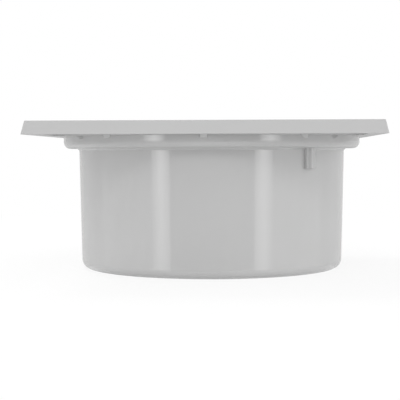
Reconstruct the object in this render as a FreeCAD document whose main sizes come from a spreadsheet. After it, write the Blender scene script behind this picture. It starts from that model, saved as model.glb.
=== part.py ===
import FreeCAD, Part
import math
import os
import re
import Sketcher

# Floor drain with a square bevelled flange over a round well, moulded in one piece.
# Origin: centre of the flat base. +Z is up, -Y is the front, millimetres and degrees.

# Driving dimensions
SIZES = {
    # flange
    "flange_side": 200.0,        # lower edge of the square flange
    "flange_rise": 7.6,          # height of the bevelled edge
    "flange_bevel": 1.75,        # how far the top edge stands in from the lower edge
    "flange_land": 7.3,          # flat underside left between the seat wall and the flange's edge
    "flange_skin": 3.2,          # top wall left over the cored corners
    "flange_round": 0.5,         # rounding of the flange's top edges
    "core_land": 10.0,           # solid rim left outside a corner core
    "core_margin": 8.0,          # solid ring left between the seat wall and a corner core
    "core_round": 2.5,           # corner rounding of a core
    # well and seat
    "body_height": 89.4,         # base to flange top
    "wall": 3.2,                 # moulded wall of seat, well and standpipe
    "base_thickness": 3.4,       # floor of the well
    "seat_depth": 12.0,          # flange top down to the ledge that carries the grate
    "ledge_width": 9.5,          # seat wall in to the well
    "ledge_thickness": 3.0,      # wall under the grate
    "well_draft": 1.2,           # degrees, the well narrows downwards
    "base_round": 5.6,           # outer rounding where well meets base
    "seat_round": 4.0,           # outer rounding under the seat
    "neck_chamfer": 1.2,         # outer corner between the ledge's underside and the well
    "floor_chamfer": 2.0,        # inside corners of the well's floor
    "edge_chamfer": 0.6,         # broken edges of seat, ledge, weir and grate
    # screw bosses under the ledge
    "screw_inset": 4.0,          # well's inner edge out to the screw's axis
    "screw_azimuth": -45.0,      # degrees from +X, the first screw stands on the front right diagonal
    "boss_diameter": 7.0,        # blind boss under the ledge
    "boss_length": 12.2,         # below the ledge
    "pilot_diameter": 3.2,       # screw hole in the boss
    "pilot_depth": 13.0,         # from the ledge's top
    # gussets under the flange
    "gusset_thickness": 4.0,
    "gusset_drop": 2.0,          # below the flange's underside, at the seat wall
    "gusset_reach": 2.4,         # out from the seat wall
    "gusset_spread": 8.0,        # degrees either side of each corner's diagonal
    # outlet
    "pipe_diameter": 75.0,       # outside of the drain pipe
    "pipe_gap": 0.2,             # radial room for the pipe in the socket
    "socket_depth": 28.0,        # base up to the pipe stop
    "socket_lead": 1.0,          # lead-in chamfer at the socket's mouth
    "pipe_stop": 3.0,            # width of the shoulder that stops the pipe
    # grate
    "grate_gap": 0.5,            # radial room between grate and seat wall
    "grate_recess": 0.4,         # grate top below flange top
    "grate_plate": 4.0,          # slotted plate
    "grate_rim": 3.2,            # rim wall that stands on the ledge
    "grate_boss_diameter": 9.0,  # solid round each screw
    "rib_depth": 5.0,            # cross ribs below the plate
    "slot_width": 7.0,
    "slot_bar": 6.0,             # bar between two rows of slots
    "slot_bridge": 6.0,          # bridge between two slots of a row, and width of the ribs
    "slot_length": 44.0,         # aimed-at pitch along a row
    "hub_radius": 12.0,          # least solid centre of the grate
    # grate screws
    "screw_head": 8.0,
    "screw_core": 3.0,
    "screw_length": 22.0,
    "screw_hole": 4.4,           # clearance hole in the grate
    "head_gap": 0.1,             # radial room round the countersunk head
    "drive_width": 1.1,          # arm of the cross recess
    "drive_span": 4.4,
    "drive_depth": 1.5,
    # trap bell
    "bell_wall": 2.4,
    "bell_draft": 2.0,           # degrees, the bell widens downwards
    "bell_round": 4.0,           # outer rounding of the crown
    "water_way": 10.0,           # standpipe out to the bell at its crown
    "crown_gap": 12.0,           # weir up to the crown's inside
    "rim_gap": 12.0,             # well floor up to the bell's rim
    "fin_thickness": 2.4,
    "fin_gap": 0.4,              # radial room of the fins in the standpipe
    "fin_tongue": 9.0,           # how deep the fins reach into the standpipe
    "fin_width": 5.0,            # radial width of that tongue
    "grip_length": 36.0,
    "grip_thickness": 4.0,
    "grip_height": 10.0,
    "grip_gap": 4.0,             # grip top to the underside of the grate's rim
    "grip_round": 4.0,
}
CORNERS = 4
MIDDLE_COUNT = 2             # gussets at the middle of a side, front and back only
SCREWS = 2
FINS = 4
RIB_LINES = 2

# Places worked out from the driving dimensions
FLANGE_UNDER = "(body_height - flange_rise)"
LEDGE = "(body_height - seat_depth)"
LEDGE_UNDER = f"({LEDGE} - ledge_thickness)"
SEAT_OUTER = "(flange_side / 2 - flange_land)"
SEAT = f"({SEAT_OUTER} - wall)"
WELL_TOP = f"({SEAT} - ledge_width)"
WELL_SLOPE = "tan(well_draft * 1deg)"
WELL_FLOOR = f"({WELL_TOP} - ({LEDGE} - base_thickness) * {WELL_SLOPE})"
WELL_OUTER_TOP = f"({WELL_TOP} + wall - ledge_thickness * {WELL_SLOPE})"
WELL_OUTER_BASE = f"({WELL_TOP} + wall - {LEDGE} * {WELL_SLOPE})"
SCREW_RADIUS = f"({WELL_TOP} + screw_inset)"
SOCKET = "(pipe_diameter / 2 + pipe_gap)"
STANDPIPE = f"({SOCKET} + wall)"
STANDPIPE_BORE = f"({SOCKET} - pipe_stop)"
BELL_TOP = f"({LEDGE} - grip_gap - grip_height)"
CROWN = f"({BELL_TOP} - bell_wall)"
WEIR = f"({CROWN} - crown_gap)"
BELL_RIM = "(base_thickness + rim_gap)"
BELL_CROWN = f"({STANDPIPE} + water_way)"
BELL_MOUTH = f"({BELL_CROWN} + ({CROWN} - {BELL_RIM}) * tan(bell_draft * 1deg))"
TONGUE = f"({STANDPIPE_BORE} - fin_gap)"
GRATE = f"({SEAT} - grate_gap)"
GRATE_TOP = "(body_height - grate_recess)"
PLATE_UNDER = f"({GRATE_TOP} - grate_plate)"
SLOT_OUTER = f"({SCREW_RADIUS} - grate_boss_diameter / 2 - slot_bar / 2)"
CORE_SIDE = "(flange_side / 2 - core_land)"
CORE_ARC = f"({SEAT_OUTER} + core_margin)"
CORE_END = f"sqrt({CORE_ARC}^2 - {CORE_SIDE}^2)"

ALIAS = re.compile(r"\b(" + "|".join(SIZES) + r")\b")
TOUCH = 1e-4

doc = FreeCAD.newDocument("floor_drain")


def make_sheet():
    """Writes the driving dimensions to the document's spreadsheet, one aliased cell each."""
    sheet = doc.addObject("Spreadsheet::Sheet", "sizes")
    for row, (alias, size) in enumerate(SIZES.items(), start=1):
        sheet.set(f"A{row}", alias)
        sheet.set(f"B{row}", str(size))
        sheet.setAlias(f"B{row}", alias)
    doc.recompute()
    return sheet


sizes = make_sheet()


def formula(text):
    """Turns a formula in plain size names into one that FreeCAD binds to the sheet."""
    return ALIAS.sub(r"sizes.\1", text)


def size(text):
    """The present value of a formula."""
    result = sizes.evalExpression(formula(text))
    return float(getattr(result, "Value", result))


def bind(item, **formulas):
    """Binds an object's properties to the sheet."""
    for name, text in formulas.items():
        item.setExpression(name, formula(text))


def new_body(label):
    body = doc.addObject("PartDesign::Body", label)
    body.Label = label
    return body


def origin_item(body, role):
    return next(item for item in body.Origin.OriginFeatures if item.Role == role)


def flat_sketch(body, name, height="0", turn="0"):
    """A sketch at a height over the base, turned about the drain's axis."""
    sketch = body.newObject("Sketcher::SketchObject", name)
    sketch.AttachmentSupport = [(origin_item(body, "XY_Plane"), "")]
    sketch.MapMode = "FlatFace"
    sketch.AttachmentOffset = FreeCAD.Placement(
        FreeCAD.Vector(0, 0, size(height)), FreeCAD.Rotation(FreeCAD.Vector(0, 0, 1), size(turn)))
    sketch.setExpression("AttachmentOffset.Base.z", formula(height))
    sketch.setExpression("AttachmentOffset.Rotation.Angle", formula(f"({turn}) * 1deg"))
    return sketch


def upright_sketch(body, name, turn="0", aside="0"):
    """A sketch in an upright plane through the drain's axis, or aside from it: y is the height."""
    sketch = body.newObject("Sketcher::SketchObject", name)
    sketch.AttachmentSupport = [(origin_item(body, "XZ_Plane"), "")]
    sketch.MapMode = "FlatFace"
    sketch.AttachmentOffset = FreeCAD.Placement(
        FreeCAD.Vector(0, 0, size(aside)), FreeCAD.Rotation(FreeCAD.Vector(0, 1, 0), size(turn)))
    sketch.setExpression("AttachmentOffset.Base.z", formula(aside))
    sketch.setExpression("AttachmentOffset.Rotation.Angle", formula(f"({turn}) * 1deg"))
    return sketch


def place(sketch, geometry, end, x, y):
    """Fixes one end point of a sketch line or the centre of a circle at two formulas."""
    for kind, axis, text in (("DistanceX", -2, x), ("DistanceY", -1, y)):
        if text == "0":
            sketch.addConstraint(Sketcher.Constraint("PointOnObject", geometry, end, axis))
        else:
            index = sketch.addConstraint(Sketcher.Constraint(kind, -1, 1, geometry, end, size(text)))
            sketch.setExpression(f"Constraints[{index}]", formula(text))


def outline(sketch, corners):
    """A closed outline of straight edges, each corner given by two formulas."""
    points = [FreeCAD.Vector(size(x), size(y), 0) for x, y in corners]
    count = len(points)
    for i in range(count):
        sketch.addGeometry(Part.LineSegment(points[i], points[(i + 1) % count]))
    for i in range(count):
        sketch.addConstraint(Sketcher.Constraint("Coincident", i, 2, (i + 1) % count, 1))
    for i, (x, y) in enumerate(corners):
        place(sketch, i, 1, x, y)
    return sketch


def centred_square(sketch, side):
    """A square about the sketch's origin, held by its symmetry and its side."""
    half = size(side) / 2
    corners = [(-half, -half), (half, -half), (half, half), (-half, half)]
    points = [FreeCAD.Vector(x, y, 0) for x, y in corners]
    for i in range(4):
        sketch.addGeometry(Part.LineSegment(points[i], points[(i + 1) % 4]))
    for i in range(4):
        sketch.addConstraint(Sketcher.Constraint("Coincident", i, 2, (i + 1) % 4, 1))
        sketch.addConstraint(Sketcher.Constraint("Vertical" if i % 2 else "Horizontal", i))
    sketch.addConstraint(Sketcher.Constraint("Symmetric", 0, 1, 1, 2, -1, 1))
    for line in (0, 1):
        kind = "DistanceY" if line else "DistanceX"
        index = sketch.addConstraint(Sketcher.Constraint(kind, line, 1, line, 2, 2 * half))
        sketch.setExpression(f"Constraints[{index}]", formula(side))
    return sketch


def circle_at(sketch, x, radius):
    """A circle on the sketch's x axis."""
    centre = FreeCAD.Vector(size(x), 0, 0)
    sketch.addGeometry(Part.Circle(centre, FreeCAD.Vector(0, 0, 1), size(radius)))
    place(sketch, 0, 3, x, "0")
    index = sketch.addConstraint(Sketcher.Constraint("Radius", 0, size(radius)))
    sketch.setExpression(f"Constraints[{index}]", formula(radius))
    return sketch


def turned(body, kind, name, sketch):
    """A full Revolution or Groove of a sketch about the drain's axis."""
    feature = body.newObject(f"PartDesign::{kind}", name)
    feature.Profile = sketch
    feature.ReferenceAxis = (sketch, ["V_Axis"])
    feature.Angle = 360
    return feature


def straight(body, kind, name, sketch, length, upwards):
    """A Pad or Pocket of a flat sketch, upwards or downwards."""
    feature = body.newObject(f"PartDesign::{kind}", name)
    feature.Profile = sketch
    feature.Reversed = upwards if kind == "Pocket" else not upwards
    bind(feature, Length=length)
    return feature


def web(body, name, sketch, thickness):
    """A Pad of an upright sketch, half to each side of its plane."""
    feature = body.newObject("PartDesign::Pad", name)
    feature.Profile = sketch
    feature.Midplane = True
    bind(feature, Length=thickness)
    return feature


def around(body, name, features, count):
    """Repeats features evenly about the drain's axis."""
    doc.recompute()
    pattern = body.newObject("PartDesign::PolarPattern", name)
    pattern.Originals = features
    pattern.Axis = (origin_item(body, "Z_Axis"), [""])
    pattern.Angle = 360
    pattern.Occurrences = count
    body.Tip = pattern
    doc.recompute()
    return pattern


def edge_points(edge):
    first, last = edge.ParameterRange
    return [edge.valueAt(first + (last - first) * share) for share in (0.1, 0.35, 0.6, 0.9)]


def ring_edges(shape, radius, height):
    """Names of the round edges about the drain's axis at a radius and a height."""
    wanted = (size(radius), size(height))

    def on_ring(point):
        return (abs(math.hypot(point.x, point.y) - wanted[0]) < TOUCH
                and abs(point.z - wanted[1]) < TOUCH)

    return [f"Edge{i}" for i, edge in enumerate(shape.Edges, start=1)
            if all(on_ring(point) for point in edge_points(edge))]


def edges_where(shape, test):
    """Names of the edges whose points all pass a test."""
    return [f"Edge{i}" for i, edge in enumerate(shape.Edges, start=1)
            if all(test(point) for point in edge_points(edge))]


def dress(body, kind, name, names_of_edges, **formulas):
    """A Fillet or Chamfer on edges of the body's present tip."""
    base = body.Tip
    if not names_of_edges:
        raise RuntimeError(f"{name}: no edge was found")
    feature = body.newObject(f"PartDesign::{kind}", name)
    feature.Base = (base, names_of_edges)
    bind(feature, **formulas)
    doc.recompute()
    return feature


def round_ring(body, name, radius, height, round_size):
    return dress(body, "Fillet", name, ring_edges(body.Shape, radius, height), Radius=round_size)


def break_ring(body, name, radius, height, chamfer_size):
    return dress(body, "Chamfer", name, ring_edges(body.Shape, radius, height), Size=chamfer_size)


def make_shell(body):
    """Flange, seat, well and standpipe, with their rounded and broken edges."""
    flange = straight(body, "Pad", "flange", centred_square(
        flat_sketch(body, "flange_outline", FLANGE_UNDER), "flange_side"), "flange_rise", True)
    bind(flange, TaperAngle="-atan(flange_bevel / flange_rise)")
    turned(body, "Revolution", "seat_and_well", outline(upright_sketch(body, "outside"), [
        ("0", "0"), (WELL_OUTER_BASE, "0"), (WELL_OUTER_TOP, LEDGE_UNDER),
        (SEAT_OUTER, LEDGE_UNDER), (SEAT_OUTER, "body_height"), ("0", "body_height")]))
    turned(body, "Groove", "hollow", outline(upright_sketch(body, "inside"), [
        (STANDPIPE, "base_thickness"), (WELL_FLOOR, "base_thickness"), (WELL_TOP, LEDGE),
        (SEAT, LEDGE), (SEAT, "body_height"), ("0", "body_height"), ("0", WEIR), (STANDPIPE, WEIR)]))
    turned(body, "Groove", "outlet", outline(upright_sketch(body, "bore"), [
        ("0", "0"), (f"{SOCKET} + socket_lead", "0"), (SOCKET, "socket_lead"), (SOCKET, "socket_depth"),
        (STANDPIPE_BORE, "socket_depth"), (STANDPIPE_BORE, WEIR), ("0", WEIR)]))
    doc.recompute()
    round_ring(body, "base_edge", WELL_OUTER_BASE, "0", "base_round")
    round_ring(body, "seat_edge", SEAT_OUTER, LEDGE_UNDER, "seat_round")
    break_ring(body, "neck", WELL_OUTER_TOP, LEDGE_UNDER, "neck_chamfer")
    break_ring(body, "floor_edge", WELL_FLOOR, "base_thickness", "floor_chamfer")
    break_ring(body, "standpipe_foot", STANDPIPE, "base_thickness", "floor_chamfer")
    break_ring(body, "ledge_lip", WELL_TOP, LEDGE, "edge_chamfer")
    break_ring(body, "seat_mouth", SEAT, "body_height", "edge_chamfer")
    break_ring(body, "weir_outside", STANDPIPE, WEIR, "edge_chamfer")
    break_ring(body, "weir_inside", STANDPIPE_BORE, WEIR, "edge_chamfer")


def make_bosses(body):
    """Blind screw bosses under the ledge, on one diagonal."""
    boss = straight(body, "Pad", "boss", circle_at(
        flat_sketch(body, "boss_round", LEDGE_UNDER, "screw_azimuth"),
        SCREW_RADIUS, "boss_diameter / 2"), "boss_length", False)
    doc.recompute()
    pilot = straight(body, "Pocket", "pilot", circle_at(
        flat_sketch(body, "pilot_round", LEDGE, "screw_azimuth"),
        SCREW_RADIUS, "pilot_diameter / 2"), "pilot_depth", False)
    around(body, "bosses", [boss, pilot], SCREWS)


def make_gussets(body):
    """Small gussets under the flange, square to its sides: one at the middle of the front and of the
    back, and one beside each corner on every side."""
    lean = "((45 - gusset_spread) * 1deg)"
    off = f"({SEAT_OUTER} * sin{lean})"
    places = {
        "middle": ("90", "0", "1", MIDDLE_COUNT),
        "before_corner": ("0", off, f"cos{lean}", CORNERS),
        "after_corner": ("0", f"-{off}", f"cos{lean}", CORNERS),
    }
    over = "body_height - flange_rise / 2"
    for name, (turn, aside, slant, count) in places.items():
        face = f"{SEAT_OUTER} * {slant}"
        inside, tip = f"{face} - wall / 2 / {slant}", f"{face} + gusset_reach"
        sketch = outline(upright_sketch(body, f"gusset_{name}", turn, aside), [
            (inside, over), (tip, over), (tip, FLANGE_UNDER), (face, f"{FLANGE_UNDER} - gusset_drop"),
            (inside, f"{FLANGE_UNDER} - gusset_drop")])
        gusset = web(body, f"one_gusset_{name}", sketch, "gusset_thickness")
        around(body, f"gussets_{name}", [gusset], count)


def core_outline(sketch):
    """A corner core: two straight sides along the flange's edges and an arc round the seat."""
    side, end, arc = size(CORE_SIDE), size(CORE_END), size(CORE_ARC)
    low, corner, high = (FreeCAD.Vector(x, y, 0) for x, y in ((side, end), (side, side), (end, side)))
    start, stop = math.atan2(end, side), math.atan2(side, end)
    round_side = Part.Circle(FreeCAD.Vector(0, 0, 0), FreeCAD.Vector(0, 0, 1), arc)
    sketch.addGeometry(Part.LineSegment(low, corner))
    sketch.addGeometry(Part.LineSegment(corner, high))
    sketch.addGeometry(Part.ArcOfCircle(round_side, start, stop))
    for first, first_end, second, second_end in ((0, 2, 1, 1), (1, 2, 2, 2), (2, 1, 0, 1), (2, 3, -1, 1)):
        sketch.addConstraint(Sketcher.Constraint("Coincident", first, first_end, second, second_end))
    sketch.addConstraint(Sketcher.Constraint("Vertical", 0))
    sketch.addConstraint(Sketcher.Constraint("Horizontal", 1))
    place(sketch, 0, 2, CORE_SIDE, CORE_SIDE)
    index = sketch.addConstraint(Sketcher.Constraint("Radius", 2, arc))
    sketch.setExpression(f"Constraints[{index}]", formula(CORE_ARC))
    return sketch


def make_cores(body):
    """Cores that thin the flange's corners from below, with rounded corners."""
    core = straight(body, "Pocket", "core", core_outline(flat_sketch(body, "core_round", FLANGE_UNDER)),
                    "flange_rise - flange_skin", True)
    around(body, "cores", [core], CORNERS)
    side, end = size(CORE_SIDE), size(CORE_END)
    corners = ((side, side), (side, end), (end, side))
    low, high = size(FLANGE_UNDER), size("body_height - flange_skin")

    def on_core_corner(point):
        x, y = abs(point.x), abs(point.y)
        return (low < point.z < high
                and any(math.hypot(x - a, y - b) < TOUCH for a, b in corners))

    dress(body, "Fillet", "core_corners", edges_where(body.Shape, on_core_corner), Radius="core_round")


def soften_flange(body):
    """Rounds the top edges and the sloping corner edges of the flange."""
    slope = size("flange_bevel / flange_rise")
    low, side, top = size(FLANGE_UNDER), size("flange_side / 2"), size("body_height")

    def on_flange_edge(point):
        reach = side - (point.z - low) * slope
        on_x, on_y = abs(abs(point.x) - reach) < TOUCH, abs(abs(point.y) - reach) < TOUCH
        at_top = abs(point.z - top) < TOUCH and (on_x or on_y)
        return at_top or (on_x and on_y and point.z > low)

    dress(body, "Fillet", "flange_edges", edges_where(body.Shape, on_flange_edge), Radius="flange_round")


def make_drain_body():
    body = new_body("drain_body")
    make_shell(body)
    make_bosses(body)
    make_gussets(body)
    make_cores(body)
    soften_flange(body)
    return body


def make_slots(body):
    """Rows of curved slots, with bridges in line with the ribs."""
    row = 0
    pitch = size("slot_width + slot_bar")
    while size(SLOT_OUTER) - row * pitch - size("slot_width") > size("hub_radius"):
        outer = f"({SLOT_OUTER} - {row} * (slot_width + slot_bar))"
        inner = f"({outer} - slot_width)"
        middle = f"({outer} - slot_width / 2)"
        sides = 2 * RIB_LINES
        count = sides * max(1, round(2 * math.pi * size(middle) / size("slot_length") / sides))
        sketch = outline(upright_sketch(body, f"slot_section_{row}", f"180 / {count}"), [
            (inner, f"{PLATE_UNDER} - rib_depth"), (outer, f"{PLATE_UNDER} - rib_depth"),
            (outer, "body_height"), (inner, "body_height")])
        slot = turned(body, "Groove", f"slot_{row}", sketch)
        slot.Midplane = True
        bind(slot, Angle=f"360deg / {count} - slot_bridge / {middle} * 180deg / pi")
        around(body, f"slots_{row}", [slot], count)
        row += 1


def make_grate():
    """Round slotted grate: plate, rim on the ledge, cross ribs and two countersunk screw holes."""
    body = new_body("grate")
    turned(body, "Revolution", "plate_and_rim", outline(upright_sketch(body, "section"), [
        ("0", PLATE_UNDER), (f"{GRATE} - grate_rim", PLATE_UNDER), (f"{GRATE} - grate_rim", LEDGE),
        (GRATE, LEDGE), (GRATE, GRATE_TOP), ("0", GRATE_TOP)]))
    doc.recompute()
    break_ring(body, "top_edge", GRATE, GRATE_TOP, "edge_chamfer")
    boss = straight(body, "Pad", "screw_boss", circle_at(
        flat_sketch(body, "screw_boss_round", PLATE_UNDER, "screw_azimuth"),
        SCREW_RADIUS, "grate_boss_diameter / 2"), f"{PLATE_UNDER} - {LEDGE}", False)
    around(body, "screw_bosses", [boss], SCREWS)
    for line in range(RIB_LINES):
        sketch = outline(upright_sketch(body, f"rib_side_{line}", f"{line} * 180 / {RIB_LINES}"), [
            ("0", f"{PLATE_UNDER} - rib_depth"), (f"{GRATE} - grate_rim / 2", f"{PLATE_UNDER} - rib_depth"),
            (f"{GRATE} - grate_rim / 2", f"{PLATE_UNDER} + grate_plate / 2"),
            ("0", f"{PLATE_UNDER} + grate_plate / 2")])
        around(body, f"ribs_{line}", [web(body, f"half_rib_{line}", sketch, "slot_bridge")], 2)
    make_slots(body)
    hole = straight(body, "Pocket", "screw_hole", circle_at(
        flat_sketch(body, "screw_hole_round", GRATE_TOP, "screw_azimuth"),
        SCREW_RADIUS, "screw_hole / 2"), "seat_depth", False)
    around(body, "screw_holes", [hole], SCREWS)
    azimuth = math.radians(size("screw_azimuth"))
    axis = (size(SCREW_RADIUS) * math.cos(azimuth), size(SCREW_RADIUS) * math.sin(azimuth))
    top, radius = size(GRATE_TOP), size("screw_hole / 2")

    def on_hole_mouth(point):
        return abs(point.z - top) < TOUCH and any(
            abs(math.hypot(point.x - way * axis[0], point.y - way * axis[1]) - radius) < TOUCH
            for way in (1, -1))

    dress(body, "Chamfer", "countersinks", edges_where(body.Shape, on_hole_mouth),
          Size="(screw_head - screw_hole) / 2 + head_gap")
    return body


def make_trap_bell():
    """Bell over the standpipe, carried by fins on the weir, with a finger grip on its crown."""
    body = new_body("trap_bell")
    turned(body, "Revolution", "cup", outline(upright_sketch(body, "section"), [
        ("0", CROWN), (BELL_CROWN, CROWN), (BELL_MOUTH, BELL_RIM), (f"{BELL_MOUTH} + bell_wall", BELL_RIM),
        (f"{BELL_CROWN} + bell_wall", BELL_TOP), ("0", BELL_TOP)]))
    doc.recompute()
    round_ring(body, "crown_edge", f"{BELL_CROWN} + bell_wall", BELL_TOP, "bell_round")
    inside = f"({TONGUE} - fin_width)"
    fin = outline(upright_sketch(body, "fin_side", "45"), [
        (inside, f"{WEIR} - fin_tongue"), (TONGUE, f"{WEIR} - fin_tongue"), (TONGUE, WEIR),
        (f"{BELL_CROWN} + bell_wall / 2", WEIR),
        (f"{BELL_CROWN} + bell_wall / 4", f"{CROWN} + bell_wall / 2"),
        (inside, f"{CROWN} + bell_wall / 2")])
    around(body, "fins", [web(body, "fin", fin, "fin_thickness")], FINS)
    grip = outline(upright_sketch(body, "grip_side"), [
        ("0", f"{BELL_TOP} - bell_wall / 2"), ("grip_length / 2", f"{BELL_TOP} - bell_wall / 2"),
        ("grip_length / 2", f"{BELL_TOP} + grip_height"), ("0", f"{BELL_TOP} + grip_height")])
    around(body, "grip", [web(body, "half_grip", grip, "grip_thickness")], 2)
    end, top = size("grip_length / 2"), size(f"{BELL_TOP} + grip_height")

    def on_grip_corner(point):
        return abs(abs(point.x) - end) < TOUCH and abs(point.z - top) < TOUCH

    dress(body, "Fillet", "grip_corners", edges_where(body.Shape, on_grip_corner), Radius="grip_round")
    return body


def part_item(kind, name, base, **formulas):
    """A Part primitive whose sizes and place are bound to the sheet."""
    item = doc.addObject(f"Part::{kind}", name)
    bind(item, **formulas)
    for axis, text in zip("xyz", base):
        item.setExpression(f"Placement.Base.{axis}", formula(text))
    return item


def make_screw(index):
    """One countersunk screw with a cross recess, its head flush with the grate."""
    turn = f"((screw_azimuth + {index} * 360 / {SCREWS}) * 1deg)"
    x, y = f"{SCREW_RADIUS} * cos{turn}", f"{SCREW_RADIUS} * sin{turn}"
    head_height = "((screw_head - screw_core) / 2)"
    core = part_item("Cylinder", f"screw_core_{index}", (x, y, f"{GRATE_TOP} - screw_length"),
                     Radius="screw_core / 2", Height=f"screw_length - {head_height} / 2")
    head = part_item("Cone", f"screw_head_{index}", (x, y, f"{GRATE_TOP} - {head_height}"),
                     Radius1="screw_core / 2", Radius2="screw_head / 2", Height=head_height)
    solid = doc.addObject("Part::Fuse", f"screw_solid_{index}")
    solid.Base, solid.Tool = core, head
    arms = (("drive_span", "drive_width"), ("drive_width", "drive_span"))
    for arm, (length, width) in enumerate(arms):
        recess = part_item(
            "Box", f"drive_{index}_{arm}",
            (f"{x} - {length} / 2", f"{y} - {width} / 2", f"{GRATE_TOP} - drive_depth"),
            Length=length, Width=width, Height="drive_depth")
        cut = doc.addObject("Part::Cut", f"screw_cut_{index}_{arm}")
        cut.Base, cut.Tool = solid, recess
        solid = cut
    return solid


def make_grate_screws():
    group = doc.addObject("Part::Compound", "grate_screws")
    group.Label = "grate_screws"
    group.Links = [make_screw(index) for index in range(SCREWS)]
    return group


def check(pieces):
    """Stops if any object failed or any piece is not a valid shape of the solids it should have."""
    doc.recompute()
    failed = [item.Name for item in doc.Objects if "Invalid" in item.State or "Error" in item.State]
    if failed:
        raise RuntimeError(f"failed objects: {failed}")
    for piece, solids in pieces:
        shape = piece.Shape
        if shape.isNull() or not shape.isValid() or len(shape.Solids) != solids:
            raise RuntimeError(f"{piece.Label}: the shape is not {solids} valid solids")


pieces = [(make_drain_body(), 1), (make_grate(), 1), (make_grate_screws(), SCREWS), (make_trap_bell(), 1)]
check(pieces)
os.makedirs("parts", exist_ok=True)
for piece, solids in pieces:
    piece.Shape.exportStep(os.path.join("parts", piece.Label + ".step"))
    print(piece.Label, "solids", solids, "volume", round(piece.Shape.Volume), "mm3")
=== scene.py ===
import math

import bpy
import numpy as np
from mathutils import Matrix, Vector


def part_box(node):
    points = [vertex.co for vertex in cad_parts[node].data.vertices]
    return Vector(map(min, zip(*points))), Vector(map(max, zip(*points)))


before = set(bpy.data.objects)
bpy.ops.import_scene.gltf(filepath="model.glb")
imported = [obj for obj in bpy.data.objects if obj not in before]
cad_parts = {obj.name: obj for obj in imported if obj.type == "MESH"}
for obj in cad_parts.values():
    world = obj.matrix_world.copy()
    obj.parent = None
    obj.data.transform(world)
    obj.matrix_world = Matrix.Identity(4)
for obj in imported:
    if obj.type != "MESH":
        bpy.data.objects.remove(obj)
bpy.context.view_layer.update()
mm = 0.001
print("frame:", ", ".join(sorted(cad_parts)))


# sRGB hex such as "C4C4C2" as linear red, green, blue and alpha
def linear(hexColour):
    levels = [int(hexColour[i:i + 2], 16) / 255 for i in (0, 2, 4)]
    return [v / 12.92 if v <= 0.04045 else ((v + 0.055) / 1.055) ** 2.4 for v in levels] + [1.0]


# Adds a node: settings are its properties or inputs, links are its inputs fed by other outputs.
# On a colour Mix, inputs 6 and 7 are the two colours, input 0 is the share and output 2 the result.
def addNode(tree, kind, settings=None, links=None):
    node = tree.nodes.new(kind)
    for name, value in (settings or {}).items():
        if isinstance(name, str) and name in node.bl_rna.properties:
            setattr(node, name, value)
        else:
            node.inputs[name].default_value = value
    for name, source in (links or {}).items():
        tree.links.new(source, node.inputs[name])
    return node


def newMaterial(name):
    material = bpy.data.materials.new(name)
    material.use_nodes = True
    material.node_tree.nodes.clear()
    return material, material.node_tree


def dress(node, material):
    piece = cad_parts[node]
    piece.data.materials.clear()
    piece.data.materials.append(material)


# Moulded plastic: a glossy skin with a faint orange peel, slow changes of shade where the melt
# flowed, a fine grain of gloss from the tool, and edges that are never quite sharp.
def mouldedPlastic(name, look):
    material, tree = newMaterial(name)
    place = addNode(tree, "ShaderNodeTexCoord").outputs["Object"]
    flow = addNode(tree, "ShaderNodeTexNoise",
                   {"Scale": 1 / (look["flowSize"] * mm), "Detail": 3.0, "Roughness": 0.55},
                   {"Vector": place}).outputs["Fac"]
    grain = addNode(tree, "ShaderNodeTexNoise", {"Scale": 1 / (look["grainSize"] * mm), "Detail": 2.0},
                    {"Vector": place}).outputs["Fac"]
    peel = addNode(tree, "ShaderNodeTexNoise", {"Scale": 1 / (look["peelSize"] * mm), "Detail": 1.0},
                   {"Vector": place}).outputs["Fac"]
    shade = addNode(tree, "ShaderNodeMix",
                    {"data_type": "RGBA", 6: linear(look["colour"]), 7: linear(look["flowColour"])},
                    {0: flow}).outputs[2]

    weak, strong = 0.7, 1.3         # flow and grain together are mostly between these
    smooth, dull = look["roughness"]
    mottle = addNode(tree, "ShaderNodeMath", {"operation": "ADD"}, {0: flow, 1: grain}).outputs[0]
    polished = addNode(tree, "ShaderNodeMapRange",
                       {"From Min": weak, "From Max": strong, "To Min": smooth, "To Max": dull},
                       {"Value": mottle}).outputs["Result"]

    leaning, under = -0.6, -0.9     # height of the normal, which is -1 where a face looks straight down
    normal = addNode(tree, "ShaderNodeNewGeometry").outputs["Normal"]
    upward = addNode(tree, "ShaderNodeSeparateXYZ", {}, {0: normal}).outputs["Z"]
    unpolished = addNode(tree, "ShaderNodeMapRange",
                         {"From Min": leaning, "From Max": under, "To Max": look["underside"]},
                         {"Value": upward}).outputs["Result"]
    roughness = addNode(tree, "ShaderNodeMath", {"operation": "ADD"},
                        {0: polished, 1: unpolished}).outputs[0]

    softEdge = addNode(tree, "ShaderNodeBevel", {"samples": 6, "Radius": look["edgeRadius"] * mm})
    bump = addNode(tree, "ShaderNodeBump", {"Strength": 1.0, "Distance": look["peelHeight"] * mm},
                   {"Height": peel, "Normal": softEdge.outputs["Normal"]})
    shader = addNode(tree, "ShaderNodeBsdfPrincipled", {"IOR": look["ior"]},
                     {"Base Color": shade, "Roughness": roughness, "Normal": bump.outputs["Normal"]})
    addNode(tree, "ShaderNodeOutputMaterial", {}, {"Surface": shader.outputs["BSDF"]})
    return material


# ABS, moulded in a polished tool: even light grey with a clear gloss
bodyLook = {
    "colour": "C6C6C6",
    "flowColour": "C1C1C1",
    "flowSize": 45,            # mm between slow changes of shade
    "grainSize": 0.6,          # mm, drawn coarser than the tool's real grain so that it shows
    "peelSize": 2.4,           # mm between the swells of the orange peel
    "peelHeight": 0.003,       # mm
    "roughness": (0.06, 0.1),
    "underside": 0.45,         # more roughness where the faces point down, which no one polishes
    "edgeRadius": 0.3,         # mm
    "ior": 1.54,
}
dress("drain_body", mouldedPlastic("glossyAbsLightGrey", bodyLook))

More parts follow.
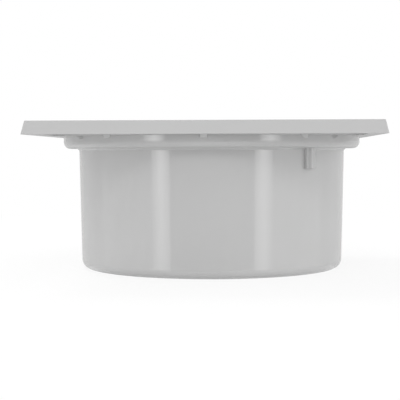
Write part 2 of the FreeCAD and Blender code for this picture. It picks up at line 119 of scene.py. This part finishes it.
# ABS again, from a tool with an eroded texture, so the grate's top is a little duller to the eye
grateLook = {
    "colour": "C6C6C4",
    "flowColour": "BEBEBC",
    "flowSize": 30,
    "grainSize": 0.5,
    "peelSize": 0.8,           # mm, the eroded pits, drawn coarser and deeper than the real ones to show
    "peelHeight": 0.2,
    "roughness": (0.28, 0.4),
    "underside": 0.15,
    "edgeRadius": 0.45,
    "ior": 1.54,
}
dress("grate", mouldedPlastic("texturedAbsLightGrey", grateLook))

# polypropylene, satin as moulded: a little darker and softer in its highlights
bellLook = {
    "colour": "B9BAB8",
    "flowColour": "B0B1AF",
    "flowSize": 22,
    "grainSize": 0.8,
    "peelSize": 1.8,
    "peelHeight": 0.015,
    "roughness": (0.34, 0.46),
    "underside": 0.1,
    "edgeRadius": 0.4,
    "ior": 1.49,
}
dress("trap_bell", mouldedPlastic("satinPolypropyleneGrey", bellLook))
print("plastics: body, grate, bell")

# Stainless steel, turned: fine rings about each screw's axis, a bright, slightly warm grey, and
# painted shade that makes the cross recess dark
screwLook = {
    "colour": "B7B5B0",
    "stainColour": "98968F",
    "recessShadeColour": "24231F",   # painted shade in the cross recess
    "recessShadeReach": 3.0,         # mm, walls nearer than this darken the surface with painted shade
    "headRadius": 4.0,         # mm, as in the solid
    "ringPitch": 0.22,         # mm, wider than the real tool marks so that they show
    "ringHeight": 0.004,       # mm
    "smearSize": 1.5,          # mm between duller spots
    "roughness": (0.2, 0.38),
}


# the two screws mirror each other through the drain's axis, so the rings are drawn about the
# point that both share once the signs of x and y are dropped
def turnedSteel(name, look):
    material, tree = newMaterial(name)
    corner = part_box("grate_screws")[1]
    centre = [corner.x - look["headRadius"] * mm, corner.y - look["headRadius"] * mm, 0]
    place = addNode(tree, "ShaderNodeTexCoord").outputs["Object"]
    folded = addNode(tree, "ShaderNodeVectorMath", {"operation": "ABSOLUTE"}, {0: place}).outputs[0]
    local = addNode(tree, "ShaderNodeVectorMath", {"operation": "SUBTRACT", 1: centre},
                    {0: folded}).outputs[0]
    ringScale = math.pi / 10 / (look["ringPitch"] * mm)   # a ring wave repeats every pi / 10 at scale 1
    rings = addNode(tree, "ShaderNodeTexWave",
                    {"wave_type": "RINGS", "rings_direction": "Z", "Scale": ringScale},
                    {"Vector": local}).outputs["Fac"]
    smear = addNode(tree, "ShaderNodeTexNoise", {"Scale": 1 / (look["smearSize"] * mm), "Detail": 4.0},
                    {"Vector": place}).outputs["Fac"]
    shade = addNode(tree, "ShaderNodeMix",
                    {"data_type": "RGBA", 6: linear(look["colour"]), 7: linear(look["stainColour"])},
                    {0: smear}).outputs[2]
    # painted shade: ambient occlusion mixes the dark colour in where walls close in, as in the cross recess
    openness = addNode(tree, "ShaderNodeAmbientOcclusion",
                       {"only_local": True, "Distance": look["recessShadeReach"] * mm}).outputs["AO"]
    shade = addNode(tree, "ShaderNodeMix", {"data_type": "RGBA", 6: linear(look["recessShadeColour"])},
                    {0: openness, 7: shade}).outputs[2]
    smooth, dull = look["roughness"]
    roughness = addNode(tree, "ShaderNodeMapRange", {"To Min": smooth, "To Max": dull},
                        {"Value": smear}).outputs["Result"]
    bump = addNode(tree, "ShaderNodeBump", {"Distance": look["ringHeight"] * mm}, {"Height": rings})
    shader = addNode(tree, "ShaderNodeBsdfPrincipled", {"Metallic": 1.0},
                     {"Base Color": shade, "Roughness": roughness, "Normal": bump.outputs["Normal"]})
    addNode(tree, "ShaderNodeOutputMaterial", {}, {"Surface": shader.outputs["BSDF"]})
    return material


dress("grate_screws", turnedSteel("turnedStainlessSteel", screwLook))
print("steel: grate screws")


# A piece of the studio from a grid of points, rows by columns. Where the grid is closed, its last
# column joins its first.
def gridPiece(name, points, closed=False):
    index = np.arange(points.shape[0] * points.shape[1]).reshape(points.shape[:2])
    here, after = (index, np.roll(index, -1, 1)) if closed else (index[:, :-1], index[:, 1:])
    quads = np.stack([here[:-1], here[1:], after[1:], after[:-1]], -1)
    mesh = bpy.data.meshes.new(name)
    mesh.from_pydata(points.reshape(-1, 3).tolist(), [], quads.reshape(-1, 4).tolist())
    piece = bpy.data.objects.new(name, mesh)
    bpy.context.scene.collection.objects.link(piece)
    return piece


# for the strips and cards, which the drain mirrors but isn't lit by
def onlyReflected(piece, material):
    material.cycles.emission_sampling = "NONE"
    piece.data.materials.append(material)
    piece.visible_camera = False
    piece.visible_diffuse = False
    piece.visible_shadow = False


# 1 for the rays that should see a plain white background, and 0 for the rest
def whiteRays(tree):
    path = addNode(tree, "ShaderNodeLightPath")
    mirrored = addNode(tree, "ShaderNodeMath", {"operation": "MAXIMUM"},
                       {0: path.outputs["Is Glossy Ray"], 1: path.outputs["Is Transmission Ray"]})
    return addNode(tree, "ShaderNodeMath", {"operation": "MAXIMUM"},
                   {0: path.outputs["Is Camera Ray"], 1: mirrored.outputs[0]}).outputs[0]


# The floor is white paper with a round hole under the drain's foot, and it is clear from below,
# so that the underside can be looked at too.
floorLook = {
    "colour": "FFFFFF",        # white paper, as the camera and the reflections see it
    "bounce": ("F4F4F4", "ACACAC"),   # the greys that it lights the drain with, near it and far from it
    "hole": 0.0785,            # m, radius of the hole, a little more than that of the drain's flat foot
    "reach": 3.0,              # m, radius of the paper
    "steps": 64,               # corners of each round
    "drop": -0.0001,           # m, a hair under the drain's foot so that the two don't flicker
    "whiteness": (0.82, 1.0),  # shares of plain white near and far, and the rest keeps the shadow
    "fade": (0.2, 0.6),        # m from the axis, between which near becomes far
}


# a flat ring: radius * (cos a, sin a) for two radii and all the way round
def makeFloor(look):
    a = np.linspace(0, 2 * np.pi, look["steps"], endpoint=False)
    radius = np.array([[look["hole"]], [look["reach"]]])
    points = np.stack([radius * np.cos(a), radius * np.sin(a), np.full((2, a.size), look["drop"])], -1)
    floor = gridPiece("floor", points, closed=True)

    material, tree = newMaterial("whitePaper")
    seen = whiteRays(tree)
    place = addNode(tree, "ShaderNodeTexCoord").outputs["Object"]
    away = addNode(tree, "ShaderNodeVectorMath", {"operation": "LENGTH"}, {0: place}).outputs["Value"]
    start, end = look["fade"]
    far = addNode(tree, "ShaderNodeMapRange", {"From Min": start, "From Max": end},
                  {"Value": away}).outputs["Result"]
    whiteNear, whiteFar = look["whiteness"]
    plain = addNode(tree, "ShaderNodeMapRange", {"To Min": whiteNear, "To Max": whiteFar}, {"Value": far})
    share = addNode(tree, "ShaderNodeMath", {"operation": "MULTIPLY"}, {0: seen, 1: plain.outputs["Result"]})
    greyNear, greyFar = (linear(grey) for grey in look["bounce"])
    bounce = addNode(tree, "ShaderNodeMix", {"data_type": "RGBA", 6: greyNear, 7: greyFar}, {0: far})
    shade = addNode(tree, "ShaderNodeMix", {"data_type": "RGBA", 7: linear(look["colour"])},
                    {0: seen, 6: bounce.outputs[2]})
    paper = addNode(tree, "ShaderNodeBsdfDiffuse", {}, {"Color": shade.outputs[2]})
    white = addNode(tree, "ShaderNodeEmission", {"Strength": 1.0})
    above = addNode(tree, "ShaderNodeMixShader", {},
                    {0: share.outputs[0], 1: paper.outputs["BSDF"], 2: white.outputs["Emission"]})
    below = addNode(tree, "ShaderNodeBsdfTransparent")
    back = addNode(tree, "ShaderNodeNewGeometry").outputs["Backfacing"]
    sided = addNode(tree, "ShaderNodeMixShader", {},
                    {0: back, 1: above.outputs[0], 2: below.outputs["BSDF"]})
    addNode(tree, "ShaderNodeOutputMaterial", {}, {"Surface": sided.outputs[0]})
    floor.data.materials.append(material)
    floor.visible_glossy = False   # the drain mirrors the feet of the strips, which are below the floor


makeFloor(floorLook)

skyLook = {
    "side": 1.03,              # level of the studio's walls
    "top": 0.67,               # level of its ceiling
}


def makeSky(look):
    world = bpy.data.worlds.new("studio")
    world.use_nodes = True
    tree = world.node_tree
    tree.nodes.clear()
    place = addNode(tree, "ShaderNodeTexCoord").outputs["Generated"]
    height = addNode(tree, "ShaderNodeSeparateXYZ", {}, {0: place}).outputs["Z"]
    level = addNode(tree, "ShaderNodeMapRange", {"To Min": look["side"], "To Max": look["top"]},
                    {"Value": height})
    studio = addNode(tree, "ShaderNodeBackground", {"Color": (1, 1, 1, 1)},
                     {"Strength": level.outputs["Result"]})
    white = addNode(tree, "ShaderNodeBackground", {"Color": (1, 1, 1, 1), "Strength": 1.0})
    mixed = addNode(tree, "ShaderNodeMixShader", {},
                    {0: whiteRays(tree), 1: studio.outputs[0], 2: white.outputs[0]})
    addNode(tree, "ShaderNodeOutputWorld", {}, {"Surface": mixed.outputs[0]})
    bpy.context.scene.world = world


makeSky(skyLook)

# fitted to the photo, and the strips and cards are placed by its azimuth
cameraLook = {
    "lens": 97.7,              # mm
    "sensor": 36,              # mm, its width
    "distance": 687.86,        # mm from the drain's axis
    "height": 70.35,           # mm over the floor
    "azimuth": 2.565,          # degrees to the right of the drain's front
    "turn": 0.6104,            # degrees to the left of the drain's axis
    "tilt": -2.3759,           # degrees, a little down
    "roll": 0.1431,            # degrees, clockwise
}

# angle is in degrees from the camera's side, and level is what a strip has at full over white
stripLook = {
    "stripLeft": {"angle": -41.7, "level": 2.65},
    "stripRight": {"angle": 42.9, "level": 2.35},
    "distance": 1.2,           # m
    "spread": 15.0,            # degrees, width seen from the drain
    "low": -0.4,               # m, below the floor's level
    "high": 0.14,              # m, low enough to keep their glare off the grate
    "edge": 0.42,              # share of the level at the long edges
    "foot": 0.3,               # share of the level at the foot
    "footFade": (-0.3, 0.1),   # m, heights between which it rises to full
    "head": 0.6,               # share that is added near the bulb
    "headFade": (0.0, 0.036),  # m, heights between which it is added
}


# Cloth over a bulb: across the strip, the level is edge + (1 - edge) * sin(pi * u) ^ 2, and up the
# strip it rises from the foot's share to full and then by the head's share
def stripCloth(name, look):
    material, tree = newMaterial(name + "Cloth")
    sheet = addNode(tree, "ShaderNodeUVMap", {"uv_map": "sheet"}).outputs["UV"]
    parts = addNode(tree, "ShaderNodeSeparateXYZ", {}, {0: sheet})
    u, v = parts.outputs["X"], parts.outputs["Y"]
    turn = addNode(tree, "ShaderNodeMath", {"operation": "MULTIPLY", 1: math.pi}, {0: u})
    wave = addNode(tree, "ShaderNodeMath", {"operation": "SINE"}, {0: turn.outputs[0]})
    bulge = addNode(tree, "ShaderNodeMath", {"operation": "POWER", 1: 2.0}, {0: wave.outputs[0]})
    across = addNode(tree, "ShaderNodeMapRange", {"To Min": look["edge"], "To Max": 1.0},
                     {"Value": bulge.outputs[0]})
    tall = look["high"] - look["low"]
    start, full, neck, crown = ((z - look["low"]) / tall for z in look["footFade"] + look["headFade"])
    foot = addNode(tree, "ShaderNodeMapRange",
                   {"From Min": start, "From Max": full, "To Min": look["foot"], "To Max": 1.0},
                   {"Value": v})
    head = addNode(tree, "ShaderNodeMapRange",
                   {"From Min": neck, "From Max": crown, "To Max": look["head"]}, {"Value": v})
    up = addNode(tree, "ShaderNodeMath", {"operation": "ADD"},
                 {0: foot.outputs["Result"], 1: head.outputs["Result"]})
    share = addNode(tree, "ShaderNodeMath", {"operation": "MULTIPLY"},
                    {0: across.outputs["Result"], 1: up.outputs[0]})
    level = addNode(tree, "ShaderNodeMath", {"operation": "MULTIPLY_ADD", 1: look[name]["level"], 2: 1.0},
                    {0: share.outputs[0]})
    glow = addNode(tree, "ShaderNodeEmission", {}, {"Strength": level.outputs[0]})
    addNode(tree, "ShaderNodeOutputMaterial", {}, {"Surface": glow.outputs[0]})
    return material


# two upright flat strips: centre + (u - 1/2) * across, at the height low + v * (high - low)
def makeStrips(look):
    width = 2 * look["distance"] * math.tan(math.radians(look["spread"] / 2))
    u, v = np.mgrid[0:2, 0:2]
    for name in ("stripLeft", "stripRight"):
        azimuth = math.radians(cameraLook["azimuth"] + look[name]["angle"])
        centre = np.array([math.sin(azimuth), -math.cos(azimuth), 0]) * look["distance"]
        across = np.array([math.cos(azimuth), math.sin(azimuth), 0]) * width
        points = centre + (u[..., None] - 0.5) * across
        points[..., 2] = look["low"] + v * (look["high"] - look["low"])
        strip = gridPiece(name, points)
        corners = np.zeros(len(strip.data.loops), int)
        strip.data.loops.foreach_get("vertex_index", corners)
        uv = np.stack([u.ravel()[corners], v.ravel()[corners]], 1)
        strip.data.uv_layers.new(name="sheet").data.foreach_set("uv", uv.astype(np.float32).ravel())
        onlyReflected(strip, stripCloth(name, look))


makeStrips(stripLook)

# a pale card that draws the drain's edges, and a darker one between the strips: facing and spread
# are in degrees, from the camera's side, and distance is in m
cardLook = {
    "backCard": {"colour": "DEDEDE", "facing": 180.0, "spread": 150.0, "distance": 1.6},
    "frontCard": {"colour": "A8A8A8", "facing": 0.6, "spread": 69.0, "distance": 1.25},
    "low": -0.5,               # m, below the floor's level
    "high": 0.35,              # m
    "steps": 48,               # faces round the bend
}


# curved cards: distance * (sin a, -cos a) over the spread, straight up between two heights
def makeCards(look):
    for name in ("backCard", "frontCard"):
        card = look[name]
        centre = cameraLook["azimuth"] + card["facing"]
        a = np.radians(centre + card["spread"] * np.linspace(-0.5, 0.5, look["steps"] + 1))
        rim = np.stack([np.sin(a), -np.cos(a), np.zeros_like(a)], 1) * card["distance"]
        points = np.stack([rim + [0, 0, look["low"]], rim + [0, 0, look["high"]]], 1)
        material, tree = newMaterial(name + "Paint")
        glow = addNode(tree, "ShaderNodeEmission", {"Color": linear(card["colour"]), "Strength": 1.0})
        addNode(tree, "ShaderNodeOutputMaterial", {}, {"Surface": glow.outputs[0]})
        onlyReflected(gridPiece(name, points), material)


makeCards(cardLook)

# soft lamps, out of sight of the camera and of the reflections: places and sizes are in m
lampLook = {
    "key": {"place": (-0.65, 0.7, 1.2), "size": (0.5, 0.5), "watts": 5.0},
    "frontFill": {"place": (0.1, -1.23, 0.9), "size": (0.5, 0.3), "watts": 2.2},
    "leftFill": {"place": (-1.45, -0.3, 0.35), "size": (0.9, 0.9), "watts": 1.8},
    "rightFill": {"place": (1.45, -0.5, 0.35), "size": (0.9, 0.9), "watts": 4.1},
    "aim": (0, 0, 0.05),       # about half way up the drain
}


def makeLamps(look):
    for name in ("key", "frontFill", "leftFill", "rightFill"):
        lamp = look[name]
        data = bpy.data.lights.new(name, "AREA")
        data.shape = "RECTANGLE"
        data.size, data.size_y = lamp["size"]
        data.energy = lamp["watts"]
        lampObject = bpy.data.objects.new(name, data)
        lampObject.location = lamp["place"]
        ahead = Vector(look["aim"]) - Vector(lamp["place"])
        lampObject.rotation_euler = ahead.to_track_quat("-Z", "Y").to_euler()
        lampObject.visible_camera = False
        lampObject.visible_glossy = False
        bpy.context.scene.collection.objects.link(lampObject)


makeLamps(lampLook)
print("studio: floor, sky, strips, cards, lamps")


# stands at its distance and azimuth, looks level at the drain's axis, then turns, tilts and rolls
def makeCamera(look):
    azimuth, turn, tilt, roll = (math.radians(look[k]) for k in ("azimuth", "turn", "tilt", "roll"))
    heading = azimuth + turn
    side = Vector((math.cos(heading), math.sin(heading), 0))
    level = Vector((-math.sin(heading), math.cos(heading), 0))
    ahead = level * math.cos(tilt) + Vector((0, 0, math.sin(tilt)))
    above = -level * math.sin(tilt) + Vector((0, 0, math.cos(tilt)))
    right = side * math.cos(roll) - above * math.sin(roll)
    up = side * math.sin(roll) + above * math.cos(roll)
    stand = Vector((math.sin(azimuth), -math.cos(azimuth), 0)) * look["distance"] * mm
    stand.z = look["height"] * mm
    data = bpy.data.cameras.new("camera")
    data.lens = look["lens"]
    data.sensor_width = look["sensor"]
    camera = bpy.data.objects.new("camera", data)
    turned = Matrix((right, up, -ahead)).transposed().to_4x4()
    camera.matrix_world = Matrix.Translation(stand) @ turned
    bpy.context.scene.collection.objects.link(camera)
    bpy.context.scene.camera = camera


makeCamera(cameraLook)
bpy.context.scene.view_settings.view_transform = "Standard"
print("camera:", cameraLook["lens"], "mm lens")
